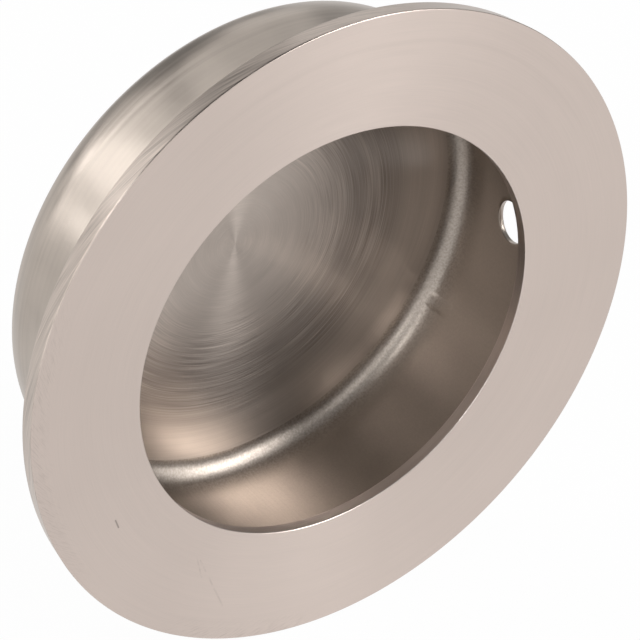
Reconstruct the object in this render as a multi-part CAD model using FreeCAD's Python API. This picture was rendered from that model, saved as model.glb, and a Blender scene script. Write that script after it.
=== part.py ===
"""Round recessed pull for a sliding pocket door.

Two metal pieces: a flat face ring, turned from plate, and a thin drawn cup.
The rim of the ring tapers slightly towards the door. The cup keeps a narrow
flange round its open edge, which lies in a seat turned into the back of the
ring and leaves the ring's lip thinner than its rim. The ring's mouth is
narrower than the cup, so the lip gives the fingers an undercut to pull on.
The cup's wall draws in along a wide shoulder before a tight corner turns it
into the flat back. One screw hole goes through the side of the cup.

Frame: the round axis is Y. The face looks towards -Y, the cup goes into the
door towards +Y, and +Z is up. The origin is the centre of the back face of
the ring, the plane that lies on the door. All sizes are in millimetres.
"""
import FreeCAD, Part
import os
from math import cos, hypot, radians, sin, tan

# Face ring
FACE_DIAMETER = 63.5
RIM_BACK_DIAMETER = 62.8
RIM_THICKNESS = 2.0
MOUTH_DIAMETER = 41.0
LIP_THICKNESS = 1.2
RIM_EDGE_BREAK = 0.1
MOUTH_EDGE_BREAK = 0.2
SEAT_CLEARANCE = 0.05

# Drawn cup
CUP_DIAMETER = 50.6
CUP_WALL = 0.5
FLANGE_DIAMETER = 52.8
OVERALL_DEPTH = 16.0

# Shoulder and corner between the cup's wall and its flat back, on the outside
SHOULDER_RADIUS = 7.0
SHOULDER_TURN_DEG = 18.0
SHOULDER_STRAIGHT = 0.2
CUP_CORNER_RADIUS = 2.2

# Screw hole in the side of the cup
SCREW_HOLE_DIAMETER = 4.0
SCREW_HOLE_FROM_FACE = 7.9

# Places along the axis, worked out from the sizes above
FACE_Y = -RIM_THICKNESS
SEAT_Y = FACE_Y + LIP_THICKNESS
FLANGE_BACK_Y = SEAT_Y + CUP_WALL
CUP_BACK_Y = FACE_Y + OVERALL_DEPTH
CUP_FLOOR_Y = CUP_BACK_Y - CUP_WALL
SCREW_HOLE_Y = FACE_Y + SCREW_HOLE_FROM_FACE

# Distances from the axis, worked out from the sizes above
RIM_R = FACE_DIAMETER / 2
RIM_BACK_R = RIM_BACK_DIAMETER / 2
MOUTH_R = MOUTH_DIAMETER / 2
CUP_OUTER_R = CUP_DIAMETER / 2
CUP_INNER_R = CUP_OUTER_R - CUP_WALL
FLANGE_R = FLANGE_DIAMETER / 2
SEAT_R = FLANGE_R + SEAT_CLEARANCE

# Lean of the run between shoulder and corner, and half of what each arc turns
SHOULDER_TURN = radians(SHOULDER_TURN_DEG)
SHOULDER_HALF = SHOULDER_TURN / 2
CORNER_HALF = radians(90) / 2 - SHOULDER_HALF

AXIS = FreeCAD.Vector(0, 1, 0)
ORIGIN = FreeCAD.Vector(0, 0, 0)


def corner_arc(before, corner, after, radius):
    """Arc tangent to both lines that meet at a corner, as its start, middle and end."""
    to_before = (before - corner).normalize()
    to_after = (after - corner).normalize()
    bisector = to_before + to_after
    bisector.normalize()
    sin_half = hypot(*(to_before - to_after)[:2]) / 2
    cos_half = to_before.dot(bisector)
    set_back = radius * cos_half / sin_half
    start = corner + to_before * set_back
    end = corner + to_after * set_back
    middle = corner + bisector * (radius / sin_half - radius)
    return start, middle, end


def turned(outline):
    """Solid turned about the Y axis from a closed outline.

    Each entry is a corner (distance from the axis, place along the axis,
    corner radius). A radius of 0 leaves the corner sharp.
    """
    corners = [FreeCAD.Vector(r, y, 0) for r, y, radius in outline]
    stretches = []
    for i, (r, y, radius) in enumerate(outline):
        before = corners[i - 1]
        after = corners[(i + 1) % len(corners)]
        if radius > 0:
            stretches.append(corner_arc(before, corners[i], after, radius))
        else:
            stretches.append((corners[i],))
    edges = []
    for i, stretch in enumerate(stretches):
        if len(stretch) == 3:
            edges.append(Part.Arc(*stretch).toShape())
        following = stretches[(i + 1) % len(stretches)]
        edges.append(Part.LineSegment(stretch[-1], following[0]).toShape())
    section = Part.Face(Part.Wire(edges))
    return section.revolve(ORIGIN, AXIS, 360)


def make_face_ring():
    """Flat ring with a turned seat for the cup's flange in its back."""
    return turned([
        (MOUTH_R, FACE_Y + MOUTH_EDGE_BREAK, 0),
        (MOUTH_R + MOUTH_EDGE_BREAK, FACE_Y, 0),
        (RIM_R - RIM_EDGE_BREAK, FACE_Y, 0),
        (RIM_R, FACE_Y + RIM_EDGE_BREAK, 0),
        (RIM_BACK_R, 0, 0),
        (SEAT_R, 0, 0),
        (SEAT_R, SEAT_Y, 0),
        (MOUTH_R, SEAT_Y, 0),
    ])


def make_screw_drill():
    """Drill for the screw hole, straight out through the side of the cup at +X."""
    inside = FreeCAD.Vector(MOUTH_R, SCREW_HOLE_Y, 0)
    length = CUP_DIAMETER - MOUTH_DIAMETER
    return Part.makeCylinder(SCREW_HOLE_DIAMETER / 2, length, inside, FreeCAD.Vector(1, 0, 0))


def shoulder_and_corner(wall_r, back_y, inset):
    """Two outline corners between the cup's wall and its back, on one side of the sheet.

    A leaning run joins them, just long enough for both arcs and the short
    straight. inset is how far this side lies inside the outer one.
    """
    shoulder_radius = SHOULDER_RADIUS - inset
    corner_radius = CUP_CORNER_RADIUS - inset
    run = shoulder_radius * tan(SHOULDER_HALF) + corner_radius * tan(CORNER_HALF) + SHOULDER_STRAIGHT
    return [
        (wall_r, back_y - run * cos(SHOULDER_TURN), shoulder_radius),
        (wall_r - run * sin(SHOULDER_TURN), back_y, corner_radius),
    ]


def make_recess_cup():
    """Drawn cup of even wall, with its flange at the front and its screw hole."""
    outside = shoulder_and_corner(CUP_OUTER_R, CUP_BACK_Y, 0)
    inside = shoulder_and_corner(CUP_INNER_R, CUP_FLOOR_Y, CUP_WALL)
    cup = turned([
        (FLANGE_R, SEAT_Y, 0),
        (FLANGE_R, FLANGE_BACK_Y, 0),
        (CUP_OUTER_R, FLANGE_BACK_Y, 0),
        *outside,
        (0, CUP_BACK_Y, 0),
        (0, CUP_FLOOR_Y, 0),
        *reversed(inside),
        (CUP_INNER_R, SEAT_Y, 0),
    ])
    return cup.cut(make_screw_drill())


os.makedirs("parts", exist_ok=True)
for node, shape in (
    ("face_ring", make_face_ring()),
    ("recess_cup", make_recess_cup()),
):
    solid = shape.Solids[0]
    solid.exportStep("parts/" + node + ".step")
    box = solid.BoundBox
    print(node, "volume %.1f mm3" % solid.Volume, "valid", solid.isValid(), box)
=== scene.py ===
# %% [markdown]
# # A pocket door pull, dressed in Blender
# The CAD model gives the exact shapes. This lesson loads it, turns the two metal pieces again as
# fine smooth meshes, gives them their brushed and turned finishes, and lights them as a small
# product photograph.

# %% Load the CAD model
import bpy
import numpy as np
from mathutils import Matrix, Vector


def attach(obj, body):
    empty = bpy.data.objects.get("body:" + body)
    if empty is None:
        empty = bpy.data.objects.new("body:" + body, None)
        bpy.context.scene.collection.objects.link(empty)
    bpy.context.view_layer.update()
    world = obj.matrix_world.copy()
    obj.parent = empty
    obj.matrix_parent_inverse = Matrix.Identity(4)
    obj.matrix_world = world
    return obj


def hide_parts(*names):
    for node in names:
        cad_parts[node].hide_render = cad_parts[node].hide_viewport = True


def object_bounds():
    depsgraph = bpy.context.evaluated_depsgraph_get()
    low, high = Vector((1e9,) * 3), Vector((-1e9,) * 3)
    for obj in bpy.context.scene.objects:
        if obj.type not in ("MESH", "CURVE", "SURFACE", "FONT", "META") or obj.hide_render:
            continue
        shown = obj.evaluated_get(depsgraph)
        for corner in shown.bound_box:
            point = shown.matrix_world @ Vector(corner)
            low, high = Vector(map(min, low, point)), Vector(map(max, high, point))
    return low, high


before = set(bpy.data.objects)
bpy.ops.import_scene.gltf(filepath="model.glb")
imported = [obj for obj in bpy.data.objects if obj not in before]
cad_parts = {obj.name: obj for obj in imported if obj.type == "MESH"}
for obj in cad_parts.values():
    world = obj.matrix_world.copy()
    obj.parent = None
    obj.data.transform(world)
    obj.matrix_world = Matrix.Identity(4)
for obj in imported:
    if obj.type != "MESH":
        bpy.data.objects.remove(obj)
cad_low, cad_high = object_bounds()
print("CAD nodes:", sorted(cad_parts), "box", list(cad_low), list(cad_high))

# %% [markdown]
# The frame is the part's own: the round axis is Y, the face looks towards -Y, and +Z is up.
# Blender works in metres, so every length is written in millimetres and multiplied by MM.

# %% Sizes of the two pieces, in metres
MM = 0.001
RIM_R, RIM_BACK_R, MOUTH_R, SEAT_R = 31.75 * MM, 31.4 * MM, 20.5 * MM, 26.45 * MM
FLANGE_R, CUP_OUTER_R, CUP_INNER_R = 26.4 * MM, 25.3 * MM, 24.8 * MM
FACE_Y, SEAT_Y, FLANGE_BACK_Y = -2.0 * MM, -0.8 * MM, -0.3 * MM
CUP_BACK_Y, CUP_FLOOR_Y = 14.0 * MM, 13.5 * MM
HOLE_R, HOLE_Y, HOLE_Z = 2.0 * MM, 6.2 * MM, -0.3 * MM

# %% [markdown]
# ## Turned shapes
# A lathe cuts one outline all the way round. Here the outline is a row of corners, each with a
# rounding radius, and the surface is that row of points turned about the Y axis: a grid with one
# way along the outline and the other round the circle. Real edges are never perfectly sharp, and
# the small roundings catch the light as thin bright lines.


# %% Outline with rounded corners
def rounded_outline(corners, closed, arc_steps=6, longest=1.2 * MM, shoulder=0.06 * MM):
    """Points of an outline given as corners (distance from axis, place along axis, radius).

    Each corner becomes an arc tangent to both its runs: set back from the corner by
    radius / tan(half the angle between the runs), and swept about the arc's centre, where the
    point a share t of the way is (sin((1-t) sweep) start + sin(t sweep) end) / sin(sweep).
    Straight runs are divided evenly, with one extra point close to each end, so that smooth
    shading stays on the arc and doesn't leak onto the flat.
    """
    spot = np.array([c[:2] for c in corners], float)
    count = len(spot)
    pieces = []
    for i, (_, _, radius) in enumerate(corners):
        if radius == 0 or (not closed and i in (0, count - 1)):
            pieces.append(spot[i][None])
            continue
        back = spot[i - 1] - spot[i]
        ahead = spot[(i + 1) % count] - spot[i]
        back, ahead = back / np.linalg.norm(back), ahead / np.linalg.norm(ahead)
        half = np.arccos(np.clip(back @ ahead, -1, 1)) / 2
        middle = (back + ahead) / np.linalg.norm(back + ahead)
        centre = spot[i] + middle * radius / np.sin(half)
        start = spot[i] + back * radius / np.tan(half) - centre
        end = spot[i] + ahead * radius / np.tan(half) - centre
        sweep = np.arccos(np.clip(start @ end / radius**2, -1, 1))
        t = np.linspace(0, 1, arc_steps + 1)[:, None]
        swept = (np.sin((1 - t) * sweep) * start + np.sin(t * sweep) * end) / np.sin(sweep)
        pieces.append(centre + swept)
    rows = []
    for i, piece in enumerate(pieces):
        rows.append(piece)
        if not closed and i == count - 1:
            break
        a, b = piece[-1], pieces[(i + 1) % count][0]
        length = np.linalg.norm(b - a)
        inner = np.linspace(0, 1, max(2, int(np.ceil(length / longest)) + 1))[1:-1]
        near = shoulder / length if length > 3 * shoulder else 1 / 3
        t = np.concatenate([[near], inner[(inner > 2 * near) & (inner < 1 - 2 * near)], [1 - near]])
        rows.append(a + (b - a) * t[:, None])
    return np.concatenate(rows)


def turned_grid(outline, angles):
    """Outline turned about Y: x = r cos(angle), y = y, z = r sin(angle), for every pair."""
    r, y = outline[:, :1], outline[:, 1:]
    around = angles[None, :]
    return np.stack([r * np.cos(around), y + 0 * around, r * np.sin(around)], -1)


def grid_faces(rows, columns, wrap_rows, wrap_columns):
    """Four corners of every cell of a grid of points, numbered row by row."""
    i = np.arange(rows if wrap_rows else rows - 1)[:, None]
    j = np.arange(columns if wrap_columns else columns - 1)[None, :]
    i2, j2 = (i + 1) % rows, (j + 1) % columns
    return np.stack([i * columns + j, i * columns + j2, i2 * columns + j2, i2 * columns + j], -1)


# %% [markdown]
# Nothing on the real piece is dead true. The mouth and the cup sit a fraction of a millimetre off
# the rim's centre, so their points are moved a little, fading to nothing where the pieces meet.
# The screw hole's place, among the sizes, is 0.3 mm deeper and 0.3 mm lower than in the CAD model.

# %% Small offsets from the axis
MOUTH_OFF, CUP_OFF = (-0.12 * MM, -0.16 * MM), (0.26 * MM, 0.23 * MM)


def smooth_step(value, low, high):
    """0 below low, 1 above high, and 3 t^2 - 2 t^3 between, with t the share of the way."""
    t = np.clip((value - low) / (high - low), 0, 1)
    return t * t * (3 - 2 * t)


def moved(points, offset, share):
    """Points moved across the axis by their own share of an offset (dx, dz)."""
    return points + share[:, None] * np.array([offset[0], 0, offset[1]])


# %% [markdown]
# `add_piece` puts the arrays into a mesh. Blender stores loose arrays fastest through
# from_pydata, and the bmesh operator then makes every face look outwards. The piece rides on the
# CAD's one body and hides the CAD node that it stands for.


# %% Make a mesh piece from arrays
import bmesh


def add_piece(name, points, faces, node, materials, pick):
    """Make a piece. pick(centres) gives the number of the finish that each face wears."""
    mesh = bpy.data.meshes.new(name)
    mesh.from_pydata(points.tolist(), [], [f for group in faces for f in group.tolist()])
    shape = bmesh.new()
    shape.from_mesh(mesh)
    loose = [v for v in shape.verts if not v.link_faces]
    bmesh.ops.delete(shape, geom=loose, context="VERTS")
    bmesh.ops.recalc_face_normals(shape, faces=shape.faces)
    open_edges = sum(not e.is_manifold for e in shape.edges)
    shape.to_mesh(mesh)
    shape.free()
    mesh.shade_smooth()
    for material in materials:
        mesh.materials.append(material)
    centres = np.concatenate([points[group].mean(1) for group in faces])
    mesh.polygons.foreach_set("material_index", pick(centres).astype(np.int32))
    piece = bpy.data.objects.new(name, mesh)
    bpy.context.scene.collection.objects.link(piece)
    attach(piece, "root")
    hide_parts(node)
    triangles = sum(len(p.vertices) - 2 for p in mesh.polygons)
    print(name, "triangles", triangles, "open edges", open_edges)


# %% [markdown]
# ## Metal finishes
# Both pieces are satin metal whose marks run round the axis: the face was brushed on a turning
# wheel and the floor of the cup was turned on a lathe. Such marks stretch a highlight across
# themselves, which is why the floor shows an hourglass of light. Blender's Principled shader does
# this with Anisotropic, once it is told which way the marks run. The direction is worked out from
# the object's own coordinates: at a point (x, z) from the centre of the marks it is (-z, x).


# %% Node helpers
class Nodes:
    """Short way to add nodes and link them: each call returns the new node's output.

    A value may be a number, a tuple or another node's output.
    """

    def __init__(self, name):
        self.material = bpy.data.materials.new(name)
        self.material.use_nodes = True
        self.tree = self.material.node_tree
        self.shader = self.tree.nodes["Principled BSDF"]

    def put(self, socket, value):
        if isinstance(value, bpy.types.NodeSocket):
            self.tree.links.new(value, socket)
        elif value is not None:
            socket.default_value = value

    def maths(self, operation, a, b=None):
        node = self.tree.nodes.new("ShaderNodeMath")
        node.operation = operation
        for socket, value in zip(node.inputs, (a, b)):
            self.put(socket, value)
        return node.outputs[0]

    def add(self, first, *others):
        for other in others:
            first = self.maths("ADD", first, other)
        return first

    def times(self, first, *others):
        for other in others:
            first = self.maths("MULTIPLY", first, other)
        return first

    def less(self, value, taken):
        return self.maths("SUBTRACT", value, taken)

    def vector(self, operation, a, b=None):
        node = self.tree.nodes.new("ShaderNodeVectorMath")
        node.operation = operation
        for socket, value in zip(node.inputs, (a, b)):
            self.put(socket, value)
        return node.outputs["Value" if operation in ("LENGTH", "DOT_PRODUCT") else "Vector"]

    def combine(self, x, y, z):
        node = self.tree.nodes.new("ShaderNodeCombineXYZ")
        for socket, value in zip(node.inputs, (x, y, z)):
            self.put(socket, value)
        return node.outputs[0]

    def separate(self, vector):
        node = self.tree.nodes.new("ShaderNodeSeparateXYZ")
        self.put(node.inputs[0], vector)
        return node.outputs

    def noise(self, vector, w=None, scale=1.0, detail=2.0):
        """Noise at a place, or at a place and a fourth coordinate w."""
        node = self.tree.nodes.new("ShaderNodeTexNoise")
        node.noise_dimensions = "3D" if w is None else "4D"
        self.put(node.inputs["Vector"], vector)
        if w is not None:
            self.put(node.inputs["W"], w)
        self.put(node.inputs["Scale"], scale)
        self.put(node.inputs["Detail"], detail)
        return node.outputs["Fac"]

    def spread(self, value, low, high, to_low, to_high, smooth=False):
        """Map a value from one range to another, held at the ends."""
        node = self.tree.nodes.new("ShaderNodeMapRange")
        node.interpolation_type = "SMOOTHSTEP" if smooth else "LINEAR"
        for socket, v in zip(node.inputs, (value, low, high, to_low, to_high)):
            self.put(socket, v)
        return node.outputs[0]

    def mix(self, amount, a, b):
        """a where the amount is 0, b where it is 1."""
        node = self.tree.nodes.new("ShaderNodeMix")
        node.data_type = "RGBA"
        self.put(node.inputs["Factor"], amount)
        self.put(node.inputs[6], a)
        self.put(node.inputs[7], b)
        return node.outputs[2]

    def bump(self, height, strength, distance):
        node = self.tree.nodes.new("ShaderNodeBump")
        self.put(node.inputs["Height"], height)
        self.put(node.inputs["Strength"], strength)
        self.put(node.inputs["Distance"], distance)
        return node.outputs[0]

    def places(self, centre=(0.0, 0.0)):
        """Object coordinates in millimetres from the centre of the marks, and what follows.

        The five values are the place, its y, its distance from the axis, the direction away from
        the axis, and the direction round it.
        """
        coords = self.tree.nodes.new("ShaderNodeTexCoord").outputs["Object"]
        spot = self.vector("MULTIPLY", coords, (1000, 1000, 1000))
        spot = self.vector("SUBTRACT", spot, (centre[0], 0, centre[1]))
        x, y, z = self.separate(spot)
        flat = self.combine(x, 0.0, z)
        radius = self.vector("LENGTH", flat)
        outward = self.vector("NORMALIZE", flat)
        ox, _, oz = self.separate(outward)
        along = self.combine(self.times(oz, -1.0), 0.0, ox)
        return spot, y, radius, outward, along

    def ring_marks(self, outward, y, radius, spacing, reach, detail=2.0):
        """Noise drawn out round the axis: fine across the marks, slow along them.

        spacing is the width of a mark in mm, reach how many times it changes in a radian.
        """
        stretched = self.vector("MULTIPLY", outward, (reach, reach, reach))
        ox, _, oz = self.separate(stretched)
        vector = self.combine(ox, self.maths("DIVIDE", y, spacing), oz)
        return self.noise(vector, self.maths("DIVIDE", radius, spacing), 1.0, detail)

    def arc_length(self, outward, radius):
        """Distance in mm round a circle of the given radius, 0 at the upper left.

        The angle's jump falls at the lower right.
        """
        x, _, z = self.separate(outward)
        away = self.less(z, x)
        beside = self.times(self.add(z, x), -1.0)
        return self.times(self.maths("ARCTAN2", beside, away), radius)

    def facing(self, outward, angle, near, far):
        """1 close to an angle round the axis and 0 far from it, both in degrees away."""
        angle, near, far = np.radians([angle, near, far])
        towards = self.vector("DOT_PRODUCT", outward, (np.cos(angle), 0, np.sin(angle)))
        return self.spread(towards, np.cos(far), np.cos(near), 0.0, 1.0, True)

    def band(self, value, middle, near, far):
        """1 while a value is near its middle, falling to 0 at far."""
        away = self.maths("ABSOLUTE", self.less(value, middle))
        return self.spread(away, near, far, 1.0, 0.0, True)

    def scratch(self, spot, start, end, width):
        """1 on a straight scratch between two places (x, z) in mm, 0 beyond its width.

        The nearest place on the scratch lies the share h of its length from the start, with
        h = (p - start) . (end - start) / length squared, held between 0 and 1.
        """
        run = np.array([end[0] - start[0], 0.0, end[1] - start[1]])
        flat = self.vector("MULTIPLY", spot, (1, 0, 1))
        away = self.vector("SUBTRACT", flat, (start[0], 0, start[1]))
        share = self.vector("DOT_PRODUCT", away, tuple(run / (run @ run)))
        share = self.spread(share, 0.0, 1.0, 0.0, 1.0)
        nearest = self.vector("MULTIPLY", self.combine(share, share, share), tuple(run))
        gap = self.vector("LENGTH", self.vector("SUBTRACT", away, nearest))
        return self.spread(gap, width * 0.3, width, 1.0, 0.0)

    def slanted_marks(self, arc, y, slant, long, spacing):
        """Noise drawn out along a line that leans slant degrees from the circle.

        long and spacing are a mark's length and width in mm. Along the mark runs
        arc cos(slant) + y sin(slant), and across it y cos(slant) - arc sin(slant).
        """
        c, s = np.cos(np.radians(slant)), np.sin(np.radians(slant))
        with_mark = self.add(self.times(arc, c), self.times(y, s))
        across = self.less(self.times(y, c), self.times(arc, s))
        with_mark = self.maths("DIVIDE", with_mark, long)
        across = self.maths("DIVIDE", across, spacing)
        return self.noise(self.combine(with_mark, across, 0.0))


# %% [markdown]
# ### What every finish sets
# All the finishes are bare metal, so they share one recipe: the metal's colour times a shade that
# changes from place to place, a roughness and a shallow relief. Anisotropic stretches a highlight
# along the tangent, and a quarter turn of it makes the stretch run across the marks.

# %% Bare metal
QUARTER_TURN = 0.25
MOST_NOISE = (0.3, 0.7)  # nearly all values of Blender's noise lie between these


def bare_metal(n, metal, shades, roughness, anisotropy, along, relief):
    """Set the shader of a finish and return its material.

    shades are the factors on the metal's red, green and blue, relief is the height, how strongly
    it shows and its depth in metres.
    """
    sockets = n.shader.inputs
    n.put(sockets["Base Color"], n.vector("MULTIPLY", metal, n.combine(*shades)))
    n.put(sockets["Metallic"], 1.0)
    n.put(sockets["Roughness"], roughness)
    n.put(sockets["Anisotropic"], anisotropy)
    n.put(sockets["Anisotropic Rotation"], QUARTER_TURN)
    n.put(sockets["Tangent"], along)
    n.put(sockets["Normal"], n.bump(*relief))
    print("finish", n.material.name, "has", len(n.tree.nodes), "nodes")
    return n.material


# %% [markdown]
# ### Finishes of the face ring
# The front was brushed on a wheel: very fine rings, a little cloudiness, a rubbed outer edge and a
# few short scratches from handling. All lengths in the finishes are in millimetres, and angles run
# in degrees from +X towards +Z.

# %% Satin face
FACE_METAL = (0.625, 0.535, 0.485)


def satin_face():
    n = Nodes("satin_face")
    spot, y, radius, outward, along = n.places()
    # brushing
    fine = n.ring_marks(outward, y, radius, 0.10, 4.0, 3.0)
    broad = n.ring_marks(outward, y, radius, 0.9, 1.5)
    cloud = n.noise(spot, None, 0.08, 3.0)
    shade = n.add(n.spread(fine, *MOST_NOISE, -0.03, 0.03),
                  n.spread(broad, *MOST_NOISE, -0.008, 0.008),
                  n.spread(cloud, *MOST_NOISE, 0.985, 1.015))
    # one faint ring near the top
    top_ring = n.times(n.band(radius, 28.7, 0.05, 0.35), n.facing(outward, 80, 10, 60), 0.03)
    # the outer edge, rubbed at the left and the lower left
    hatch = n.slanted_marks(n.arc_length(outward, 31.0), radius, -30, 1.5, 0.10)
    edge = n.spread(radius, 29.2, 31.2, 0.0, 1.0, True)
    sides = n.add(n.facing(outward, 188, 12, 34), n.facing(outward, 256, 5, 20))
    worn = n.times(edge, sides, n.spread(hatch, 0.5, 0.68, 0.0, 1.0), 0.13)
    # one short dark scratch, two long faint ones that come and go
    dark = n.times(n.scratch(spot, (-22.11, -13.35), (-21.72, -14.21), 0.11), 0.45)
    faint = n.scratch(spot, (-12.51, -20.69), (-9.57, -26.55), 0.12)
    second = n.scratch(spot, (-12.9, -20.3), (-12.2, -22.6), 0.10)
    broken = n.spread(n.noise(spot, None, 1.2), 0.4, 0.6, 0.0, 0.12)
    scratches = n.maths("MAXIMUM", dark, n.times(n.maths("MAXIMUM", faint, second), broken))
    shade = n.less(n.less(n.less(shade, top_ring), worn), scratches)
    roughness = n.spread(fine, *MOST_NOISE, 0.34, 0.44)
    return bare_metal(n, FACE_METAL, [shade] * 3, roughness, 0.6, along, (fine, 0.1, 0.00002))


# %% [markdown]
# The side of the rim was only deburred, so it is browner and carries oblique scratches. Its back
# was turned. The lip's edge, inside the mouth, is the same metal, plainer and lighter.

# %% Scratched rim
RIM_METAL = (0.515, 0.445, 0.395)


def scratched_rim():
    n = Nodes("scratched_rim")
    spot, y, radius, outward, along = n.places()
    # scratches on the side, turned marks on the back
    arc = n.arc_length(outward, 31.6)
    side = n.spread(y, -0.3, -0.05, 1.0, 0.0)
    turned = n.ring_marks(outward, y, radius, 0.3, 2.0)
    coarse = n.mix(side, turned, n.slanted_marks(arc, y, 11, 9.0, 0.20))
    fine = n.mix(side, turned, n.slanted_marks(arc, y, 16, 4.0, 0.09))
    depth = n.spread(n.noise(spot, None, 0.3, 3.0), 0.35, 0.65, 0.4, 1.2)
    shade = n.add(n.times(n.spread(coarse, 0.35, 0.65, -0.22, 0.16), depth),
                  n.spread(fine, *MOST_NOISE, 0.92, 1.08))
    # the front edge: painted shade and a painted dark line at the upper left, a painted highlight
    # further down
    edge = n.spread(y, -1.92, -1.7, 1.0, 0.0, True)
    corner = n.spread(y, -1.95, -1.9, 1.0, 0.0)
    edge_painted_shade = n.times(edge, n.facing(outward, 117, 10, 24), 0.6)
    painted_dark_edge_line = n.times(corner, n.facing(outward, 117, 16, 34), 0.35)
    edge_painted_highlight = n.times(edge, n.facing(outward, 154, 9, 20), 0.45)
    shade = n.add(n.less(n.less(shade, edge_painted_shade), painted_dark_edge_line), edge_painted_highlight)
    # the lip's edge, which is also a little less brown
    lip_ends = (21.0, 22.0)
    lip = n.spread(radius, *lip_ends, 1.0, 0.0)
    plain = n.spread(n.ring_marks(outward, y, radius, 0.15, 2.0), *MOST_NOISE, 1.28, 1.42)
    shade = n.add(n.times(shade, n.less(1.0, lip)), n.times(plain, lip))
    green = n.times(shade, n.spread(radius, *lip_ends, 1.03, 1.0))
    blue = n.times(shade, n.spread(radius, *lip_ends, 1.08, 1.0))
    roughness = n.spread(coarse, *MOST_NOISE, 0.28, 0.42)
    return bare_metal(n, RIM_METAL, (shade, green, blue), roughness, 0.3, along,
                      (coarse, 0.35, 0.00003))


# %% [markdown]
# ### Finishes of the cup
# The floor was turned on a lathe after drawing, slightly off the cup's own centre. Its marks are
# broken arcs, some deeper than others, strongest in two rings, and painted shade darkens a band
# round 15 mm out.

# %% Turned floor
FLOOR_METAL = (0.47, 0.41, 0.367)
LATHE_CENTRE = (-0.61, 0.54)


def turned_floor():
    n = Nodes("turned_floor")
    _, y, radius, outward, along = n.places(LATHE_CENTRE)
    fine = n.ring_marks(outward, y, radius, 0.09, 2.2, 2.5)
    deep = n.spread(n.ring_marks(outward, y, radius, 0.20, 1.2, 1.0), 0.55, 0.70, 0.0, 1.0)
    tone = n.ring_marks(outward, y, radius, 1.1, 0.6, 1.0)
    # how strong the marks are: 1 in the rings 11 and 15.5 mm out, 0.3 far from them
    from_inner = n.maths("ABSOLUTE", n.less(radius, 11.0))
    from_outer = n.maths("ABSOLUTE", n.less(radius, 15.5))
    zone = n.maths("MAXIMUM", n.spread(from_inner, 0.5, 4.0, 1.0, 0.3, True),
                   n.spread(from_outer, 0.5, 3.5, 1.0, 0.3, True))
    shade = n.add(n.times(n.spread(fine, *MOST_NOISE, -0.20, 0.20), zone),
                  n.times(deep, zone, 0.16),
                  n.spread(tone, *MOST_NOISE, 0.96, 1.04))
    # painted shade: a darker band round 15 mm out
    shade = n.less(shade, n.times(n.band(radius, 15.0, 2.0, 5.0), 0.18))
    height = n.times(n.add(fine, n.times(deep, 0.4)), zone)
    roughness = n.spread(fine, *MOST_NOISE, 0.28, 0.37)
    return bare_metal(n, FLOOR_METAL, [shade] * 3, roughness, 0.85, along,
                      (height, 0.2, 0.000015))


# %% [markdown]
# The wall and the outside are as they came from the draw: smoother and a little cloudy. Inside,
# the sheet has a sandy grain, coarsest in the corner, where it was bent most, and draw marks that
# run along the axis. A small spur of metal crosses the corner. Outside, the smears run round.

# %% Drawn sheet, inside
SHEET_METAL = (0.43, 0.377, 0.332)


def drawn_inside():
    n = Nodes("drawn_inside")
    spot, y, _, outward, along = n.places()
    grain = n.noise(spot, None, 5.0)
    cloud = n.noise(spot, None, 0.18, 3.0)
    drawn = n.slanted_marks(n.arc_length(outward, 24.8), y, 90, 5.0, 0.16)
    corner = n.spread(y, 10.6, 12.4, 0.0, 1.0, True)
    sandy = n.add(n.times(corner, 1.1), 0.4)
    streaky = n.spread(n.facing(outward, 252, 8, 40), 0.0, 1.0, 0.3, 1.0)
    shade = n.add(n.spread(cloud, *MOST_NOISE, 1.02, 1.12),
                  n.times(n.spread(drawn, *MOST_NOISE, -0.05, 0.05), streaky),
                  n.times(n.spread(grain, *MOST_NOISE, -0.10, 0.10), sandy))
    # painted shade darkens the corner, least near the screw hole; the corner is also rougher
    corner_painted_shade = n.spread(n.facing(outward, 352, 25, 55), 0.0, 1.0, 0.24, 0.12)
    shade = n.less(shade, n.times(corner, corner_painted_shade))
    roughness = n.add(n.spread(cloud, *MOST_NOISE, 0.28, 0.34), n.times(corner, 0.06))
    spur_ends = n.times(n.spread(y, 9.8, 11.0, 0.0, 1.0, True),
                        n.spread(y, 12.2, 12.9, 1.0, 0.0, True))
    spur = n.times(n.facing(outward, 332.8, 0.4, 1.9), spur_ends)
    height = n.add(n.times(grain, n.times(sandy, 0.6)), n.times(spur, 3.0))
    return bare_metal(n, SHEET_METAL, [shade] * 3, roughness, 0.3, along, (height, 0.6, 0.00003))


# %% Drawn sheet, outside
def drawn_outside():
    n = Nodes("drawn_outside")
    spot, y, radius, outward, along = n.places()
    cloud = n.noise(spot, None, 0.22, 3.0)
    smear = n.ring_marks(outward, y, radius, 0.45, 1.2)
    towards_shoulder = n.spread(y, 7.5, 10.5, 0.35, 1.0, True)
    shade = n.add(n.spread(cloud, *MOST_NOISE, 0.93, 1.07),
                  n.times(n.spread(smear, *MOST_NOISE, -0.12, 0.10), towards_shoulder))
    roughness = n.spread(n.add(cloud, smear), 0.7, 1.3, 0.28, 0.36)
    return bare_metal(n, SHEET_METAL, [shade] * 3, roughness, 0.3, along, (smear, 0.6, 0.000006))


# %% [markdown]
# ## The face ring
# The ring is one closed outline, turned: front, rim, back, the seat for the cup's flange, the
# lip's underside and the mouth's edge. A flat disc with a hole and a Bevel modifier could give the
# front, but not the stepped back, and the outline sets each edge's rounding on its own.

# %% Turn the face ring
STEPS_ROUND = 360
angles = np.linspace(0, 2 * np.pi, STEPS_ROUND, endpoint=False)

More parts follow.
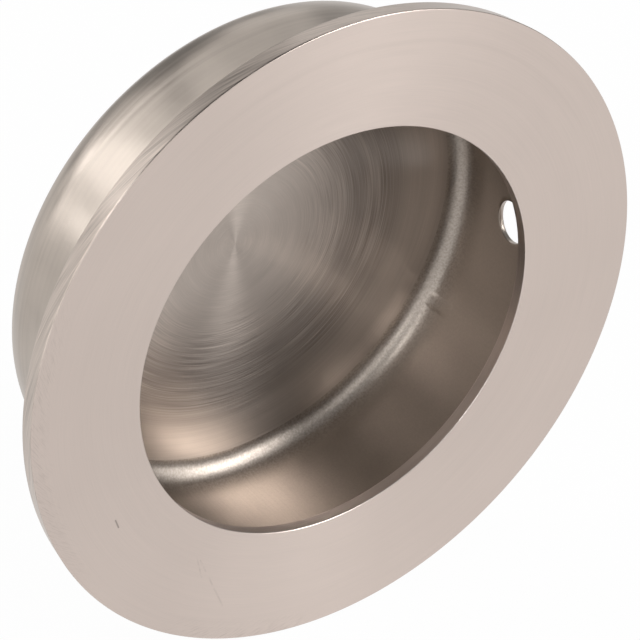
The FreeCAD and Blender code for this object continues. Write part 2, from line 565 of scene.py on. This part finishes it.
ring_outline = rounded_outline([
    (MOUTH_R, FACE_Y, 0.12 * MM),
    (RIM_R, FACE_Y, 0.1 * MM),
    (RIM_BACK_R, 0, 0.15 * MM),
    (SEAT_R, 0, 0.05 * MM),
    (SEAT_R, SEAT_Y, 0.05 * MM),
    (MOUTH_R, SEAT_Y, 0.1 * MM),
], closed=True)
ring_points = turned_grid(ring_outline, angles).reshape(-1, 3)
ring_faces = grid_faces(len(ring_outline), STEPS_ROUND, True, True).reshape(-1, 4)
from_axis = np.hypot(ring_points[:, 0], ring_points[:, 2])
ring_points = moved(ring_points, MOUTH_OFF, 1 - smooth_step(from_axis, 21 * MM, 25 * MM))
print("ring outline", len(ring_outline), "points, grid", ring_points.shape)


# %% Finish the face ring
def front_or_side(centres):
    """0 on the brushed front, 1 on the rim, the lip's edge and the back."""
    just_behind_front = FACE_Y + 0.04 * MM
    return np.where(centres[:, 1] < just_behind_front, 0, 1)


add_piece("ring_turned", ring_points, [ring_faces], "face_ring",
          [satin_face(), scratched_rim()], front_or_side)

# %% [markdown]
# ## The drawn cup
# The cup is one thin sheet, so its outline runs from the axis along the back, up the outside,
# round the flange and down the inside to the axis again. A wide shoulder and a tight corner turn
# the wall into the back, on the inside and on the outside.

# %% Shoulder and corner
SHOULDER_TURN = np.radians(18)
SHOULDER_STRAIGHT = 0.2 * MM
OUTSIDE_RADII, INSIDE_RADII = (7.0 * MM, 2.2 * MM), (6.5 * MM, 2.3 * MM)  # shoulder and corner


def shoulder_and_corner(wall_r, back_y, shoulder_r, corner_r):
    """Two corners that turn the wall into the back: a wide shoulder, then a tight corner.

    The leaning run between them is as long as both arcs' set-backs, radius times
    tan(half the turn), and the short straight together.
    """
    run = (shoulder_r * np.tan(SHOULDER_TURN / 2) + SHOULDER_STRAIGHT
           + corner_r * np.tan(np.pi / 4 - SHOULDER_TURN / 2))
    return [(wall_r, back_y - run * np.cos(SHOULDER_TURN), shoulder_r),
            (wall_r - run * np.sin(SHOULDER_TURN), back_y, corner_r)]


cup_outline = rounded_outline([
    (0, CUP_BACK_Y, 0),
    *reversed(shoulder_and_corner(CUP_OUTER_R, CUP_BACK_Y, *OUTSIDE_RADII)),
    (CUP_OUTER_R, FLANGE_BACK_Y, 0.15 * MM),
    (FLANGE_R, FLANGE_BACK_Y, 0.1 * MM),
    (FLANGE_R, SEAT_Y, 0.1 * MM),
    (CUP_INNER_R, SEAT_Y, 0.3 * MM),
    *shoulder_and_corner(CUP_INNER_R, CUP_FLOOR_Y, *INSIDE_RADII),
    (0, CUP_FLOOR_Y, 0),
], closed=False, arc_steps=12)
print("cup outline", len(cup_outline), "points")

# %% [markdown]
# The screw hole can't be turned. A square block of cells is left out of the wall, inside and
# outside, and a collar of points fills it later. For that, the wall needs evenly spaced rows round
# the hole, as far apart as the columns are.

# %% Rows for the screw hole's block
BLOCK = 8  # cells from the hole's middle to the block's side
SAME = 1e-9  # lengths in metres that differ by less are the same
half_block = BLOCK * np.radians(360 / STEPS_ROUND) * CUP_INNER_R
wall_rows = np.linspace(HOLE_Y - half_block, HOLE_Y + half_block, 2 * BLOCK + 1)


def with_wall_rows(outline, wall_r):
    """Put the block's rows into the run of an outline along a wall, for the points near it."""
    on_wall = np.abs(outline[:, 0] - wall_r) < SAME
    close = 0.3 * MM
    inside = (on_wall & (outline[:, 1] > wall_rows[0] - close)
              & (outline[:, 1] < wall_rows[-1] + close))
    first, last = np.flatnonzero(inside)[[0, -1]]
    rows = wall_rows if outline[first, 1] < outline[last, 1] else wall_rows[::-1]
    middle = np.stack([np.full(len(rows), wall_r), rows], -1)
    return np.concatenate([outline[:first], middle, outline[last + 1:]])


cup_outline = with_wall_rows(with_wall_rows(cup_outline, CUP_OUTER_R), CUP_INNER_R)
print("rows", len(wall_rows), "from", wall_rows[0] / MM, "to", wall_rows[-1] / MM, "mm")

# %% [markdown]
# On the axis a turned grid would pile up a whole row of points. The two ends of the outline are
# one point each instead, and a fan of triangles closes the surface round it.

# %% Turn the cup
body_outline = cup_outline[1:-1]
cup_points = turned_grid(body_outline, angles).reshape(-1, 3)
cup_cells = grid_faces(len(body_outline), STEPS_ROUND, False, True)
poles = np.array([[0, CUP_BACK_Y, 0], [0, CUP_FLOOR_Y, 0]])
back_pole, floor_pole = len(cup_points), len(cup_points) + 1
here = np.arange(STEPS_ROUND)
following = (here + 1) % STEPS_ROUND
last_row = (len(body_outline) - 1) * STEPS_ROUND
caps = np.concatenate([
    np.stack([np.full_like(here, back_pole), following, here], -1),
    np.stack([np.full_like(here, floor_pole), last_row + here, last_row + following], -1),
])
print("cup grid", cup_cells.shape[:2], "cells, caps", len(caps), "triangles")

# %% [markdown]
# The points round the square block are numbered in order, so that the collar can start from them.
# Blender's Boolean modifier could cut the hole too, but it leaves long thin faces, which shade
# badly on shiny metal.


# %% Border of the block
def block_border(wall_r):
    """Numbers of the grid points round the square block on a wall, in order, and its first row."""
    on_wall = np.flatnonzero(np.abs(body_outline[:, 0] - wall_r) < SAME)
    places = body_outline[on_wall, 1]
    top = on_wall[np.argmin(np.abs(places - wall_rows[0]))]
    bottom = on_wall[np.argmin(np.abs(places - wall_rows[-1]))]
    step = 1 if bottom > top else -1
    side = np.arange(-BLOCK, BLOCK)
    row = np.concatenate([top + 0 * side, top + step * (side + BLOCK), bottom + 0 * side,
                          bottom - step * (side + BLOCK)])
    column = np.concatenate([side, BLOCK + 0 * side, -side, -BLOCK + 0 * side])
    return row * STEPS_ROUND + column % STEPS_ROUND, min(top, bottom)


inner_border, inner_first = block_border(CUP_INNER_R)
outer_border, outer_first = block_border(CUP_OUTER_R)
square = cup_points[inner_border]
around = np.arctan2(square[:, 1] - HOLE_Y, square[:, 2])
print("block border", len(inner_border), "points")

# %% [markdown]
# Each point of the collar lies between a point on the square block and a point on the round hole.
# The hole's edges are broken a little, slightly more on the inside.

# %% Collar and bore of the screw hole
COLLAR_RINGS, TOWARDS_HOLE = 5, 0.8
INNER_BREAK, OUTER_BREAK = 0.08 * MM, 0.06 * MM


def on_wall_points(wall_r, radius):
    """Points on a wall, on circles round the hole.

    x = square root of (wall_r squared - z squared), so they follow the wall's curve.
    """
    z, y = HOLE_Z + radius * np.cos(around), HOLE_Y + radius * np.sin(around)
    return np.stack([np.sqrt(wall_r**2 - z**2), y, z], -1)


def collar(wall_r, border, edge_r):
    """Rings of points from the square block to the round hole.

    Each point lies a share t of the way from its point on the square to its point on the hole.
    The even shares are raised to a power below 1, which sets the rings closer towards the hole.
    """
    square = cup_points[border]
    hole = on_wall_points(wall_r, edge_r)
    t = np.linspace(0, 1, COLLAR_RINGS + 1)[1:, None] ** TOWARDS_HOLE
    y, z = (square[:, k] * (1 - t) + hole[:, k] * t for k in (1, 2))
    return np.stack([np.sqrt(wall_r**2 - z**2), y, z], -1)


inner_collar = collar(CUP_INNER_R, inner_border, HOLE_R + INNER_BREAK)
outer_collar = collar(CUP_OUTER_R, outer_border, HOLE_R + OUTER_BREAK)
bore_depth = np.array([[0.02], [0.07], [0.25], [0.43], [0.48]]) * MM
bore_r = HOLE_R + np.array([[0.024], [0.0], [0.0], [0.0], [0.018]]) * MM
bore_rings = on_wall_points(CUP_INNER_R, bore_r)
bore_rings[..., 0] += bore_depth
hole_points = np.concatenate([inner_collar, bore_rings, outer_collar[::-1]])
print("hole rings", hole_points.shape[0], "of", hole_points.shape[1], "points")

# %% Faces of the collar, and the cells that it replaces
first_hole_point = len(cup_points) + len(poles)
numbers = first_hole_point + np.arange(hole_points[..., 0].size).reshape(hole_points.shape[:2])
numbers = np.concatenate([inner_border[None], numbers, outer_border[None]])
hole_faces = np.stack([numbers[:-1], np.roll(numbers[:-1], -1, 1),
                       np.roll(numbers[1:], -1, 1), numbers[1:]], -1)
keep = np.ones(cup_cells.shape[:2], bool)
columns = np.arange(-BLOCK, BLOCK) % STEPS_ROUND
for first in (inner_first, outer_first):
    keep[first:first + 2 * BLOCK, columns] = False
all_points = np.concatenate([cup_points, poles, hole_points.reshape(-1, 3)])
print("cells left out", int((~keep).sum()), "faces in the collar", hole_faces[..., 0].size)

# %% [markdown]
# The cup leans a little, so its offset grows from nothing at the flange to all of it at the
# shoulder. Its faces are then shared out among the three finishes.

# %% Finish the cup
WALL_END_Y = 10 * MM
TURNED_R = 22.4 * MM


def cup_share(points):
    """How much of the cup's offset each point takes: none at the flange, all at the wall's end."""
    return np.clip(points[:, 1] / WALL_END_Y, 0, 1)


def cup_finish(centres):
    """0 on the turned floor, 1 on the rest of the inside, 2 on the outside.

    A face is outside when it lies beyond the inner outline's radius at its own depth, or behind
    the floor. The offset is taken off first.
    """
    centres = moved(centres, CUP_OFF, -cup_share(centres))
    radius, depth = np.hypot(centres[:, 0], centres[:, 2]), centres[:, 1]
    inner = body_outline[np.argmin(body_outline[:, 1]):]
    inner_r = np.interp(depth, inner[:, 1], inner[:, 0])
    within_sheet, flat = 0.2 * MM, 0.05 * MM
    outside = (radius > inner_r + within_sheet) | (depth > CUP_FLOOR_Y + within_sheet)
    floor = (radius < TURNED_R) & (np.abs(depth - CUP_FLOOR_Y) < flat)
    return np.where(floor, 0, np.where(outside, 2, 1))


all_points = moved(all_points, CUP_OFF, cup_share(all_points))
add_piece("cup_drawn", all_points, [cup_cells[keep], caps, hole_faces.reshape(-1, 4)],
          "recess_cup", [turned_floor(), drawn_inside(), drawn_outside()], cup_finish)

# %% [markdown]
# ## Floor and surroundings
# The photograph has a plain white ground. The floor shows as white to the camera and in the metal,
# through Light Path, and reaches so far that it fills every view from above. It is only partly
# self-lit, so it keeps a trace of the object's shadow. The world is a plain grey.

# %% White floor
FLOOR_HALF = 20.0
PAINT, GLOW_SHARE = 0.85, 0.97


def seen_or_mirrored(tree):
    """1 for camera, glossy and transmission rays, else 0."""
    path = tree.nodes.new("ShaderNodeLightPath")
    total = path.outputs["Is Camera Ray"]
    for name in ("Is Glossy Ray", "Is Transmission Ray"):
        node = tree.nodes.new("ShaderNodeMath")
        node.operation = "MAXIMUM"
        tree.links.new(total, node.inputs[0])
        tree.links.new(path.outputs[name], node.inputs[1])
        total = node.outputs[0]
    return total


floor_mesh = bpy.data.meshes.new("floor")
corners = [(-1, -1), (1, -1), (1, 1), (-1, 1)]
corners = [(x * FLOOR_HALF, y * FLOOR_HALF, float(cad_low.z)) for x, y in corners]
floor_mesh.from_pydata(corners, [], [(0, 1, 2, 3)])
floor = bpy.data.objects.new("floor", floor_mesh)
bpy.context.scene.collection.objects.link(floor)
paint = bpy.data.materials.new("white_floor")
paint.use_nodes = True
tree = paint.node_tree
tree.nodes.clear()
matt = tree.nodes.new("ShaderNodeBsdfDiffuse")
matt.inputs["Color"].default_value = (PAINT, PAINT, PAINT, 1)
glow = tree.nodes.new("ShaderNodeEmission")
share = tree.nodes.new("ShaderNodeMath")
share.operation = "MULTIPLY"
share.inputs[1].default_value = GLOW_SHARE
tree.links.new(seen_or_mirrored(tree), share.inputs[0])
blend = tree.nodes.new("ShaderNodeMixShader")
tree.links.new(share.outputs[0], blend.inputs[0])
tree.links.new(matt.outputs[0], blend.inputs[1])
tree.links.new(glow.outputs[0], blend.inputs[2])
out = tree.nodes.new("ShaderNodeOutputMaterial")
tree.links.new(blend.outputs[0], out.inputs[0])
floor_mesh.materials.append(paint)
print("floor", 2 * FLOOR_HALF, "m wide at height", corners[0][2])

# %% World
WORLD_GREY = 0.3
world = bpy.data.worlds.new("studio")
bpy.context.scene.world = world
world.use_nodes = True
grey = world.node_tree.nodes["Background"]
grey.inputs["Color"].default_value = (WORLD_GREY, WORLD_GREY, WORLD_GREY, 1)
print("world grey", WORLD_GREY)

# %% [markdown]
# ## Lights
# Metal shows what stands round it, so the studio is a ring of small soft boxes, all at one distance
# in metres from the object. The strong ones make the highlights on the outside and in the corner
# of the cup, the wide weak ones light the face. A light's brightness as seen in the metal is its
# power divided by pi times its area, so the power is worked out from the brightness that is
# wanted.

# %% Soft boxes
BOX_DISTANCE = 0.8


def soft_box(name, direction, side, brightness):
    """Square light that faces the object: power = brightness times pi times its area."""
    lamp = bpy.data.lights.new(name, "AREA")
    lamp.size = side
    lamp.energy = brightness * np.pi * side**2
    box = bpy.data.objects.new(name, lamp)
    toward = Vector(direction).normalized()
    box.location = toward * BOX_DISTANCE
    box.rotation_mode = "QUATERNION"
    box.rotation_quaternion = toward.to_track_quat("Z", "Y")
    bpy.context.scene.collection.objects.link(box)


# Towards (x, y, z), side in metres, brightness
BOXES = [
    (0.54, -0.67, 0.52, 0.15, 15.5),
    (0.41, -0.82, 0.40, 0.15, 15.1),
    (-0.78, -0.35, 0.52, 0.15, 11.3),
    (0.38, -0.60, 0.71, 0.15, 10.2),
    (0.59, -0.46, 0.67, 0.15, 9.6),
    (0.60, -0.77, 0.22, 0.15, 8.7),
    (-0.61, 0.54, 0.59, 0.15, 8.7),
    (-0.44, -0.88, 0.19, 0.15, 6.5),
    (-0.45, 0.49, 0.75, 0.15, 6.2),
    (-0.57, 0.76, 0.32, 0.15, 5.6),
    (-0.21, -0.86, 0.46, 0.15, 5.0),
    (-0.74, 0.66, 0.14, 0.15, 4.7),
    (-0.83, -0.53, 0.18, 0.15, 4.2),
    (-0.13, 0.49, 0.86, 0.30, 1.7),
    (0.44, 0.77, 0.47, 0.30, 0.9),
    (-0.35, 0.84, 0.40, 0.30, 0.9),
    (0.20, 0.63, 0.75, 0.30, 0.6),
    (0.66, 0.73, 0.18, 0.30, 0.4),
]
for i, (x, y, z, side, brightness) in enumerate(BOXES):
    soft_box(f"box_{i:02d}", (x, y, z), side, brightness)
print(len(BOXES), "soft boxes")

# %% [markdown]
# ## Camera
# The camera stands where the photograph was taken, found by fitting the circles of the rim, mouth
# and cup to the picture: 34 degrees to the left of the axis, 36 degrees above it, with a long lens.

# %% Camera
AZIMUTH, ELEVATION, ROLL = np.radians([34.19, 36.10, 6.3])
FOCAL_PX, PICTURE_PX = 5901, 640
ASIDE, ABOVE, AHEAD = -0.04880, 0.03072, -16.35  # from the face's centre, in radii of the face
looking = np.array([np.sin(AZIMUTH) * np.cos(ELEVATION), np.cos(AZIMUTH) * np.cos(ELEVATION),
                    -np.sin(ELEVATION)])
right = np.array([np.cos(AZIMUTH), -np.sin(AZIMUTH), 0])
up = np.cross(right, looking)
spot = (right * ASIDE + up * ABOVE + looking * AHEAD) * RIM_R
turn = np.array([[np.cos(ROLL), 0, -np.sin(ROLL)], [0, 1, 0], [np.sin(ROLL), 0, np.cos(ROLL)]])
spot = turn @ spot + np.array([0, FACE_Y, 0])
axes = np.stack([turn @ right, turn @ up, turn @ -looking], 1)
lens = bpy.data.cameras.new("camera")
lens.sensor_width = 36
lens.lens = FOCAL_PX * lens.sensor_width / PICTURE_PX
camera = bpy.data.objects.new("camera", lens)
camera.matrix_world = Matrix.Translation(Vector(spot)) @ Matrix(axes.tolist()).to_4x4()
bpy.context.scene.collection.objects.link(camera)
bpy.context.scene.camera = camera
print("camera at", spot, "lens", lens.lens, "mm")

# %% [markdown]
# ## Finish
# The Standard view transform shows the colours as they were worked out. The box of the CAD model
# is printed again.

# %% Finish
bpy.context.scene.view_settings.view_transform = "Standard"
print("CAD box", list(cad_low), list(cad_high))
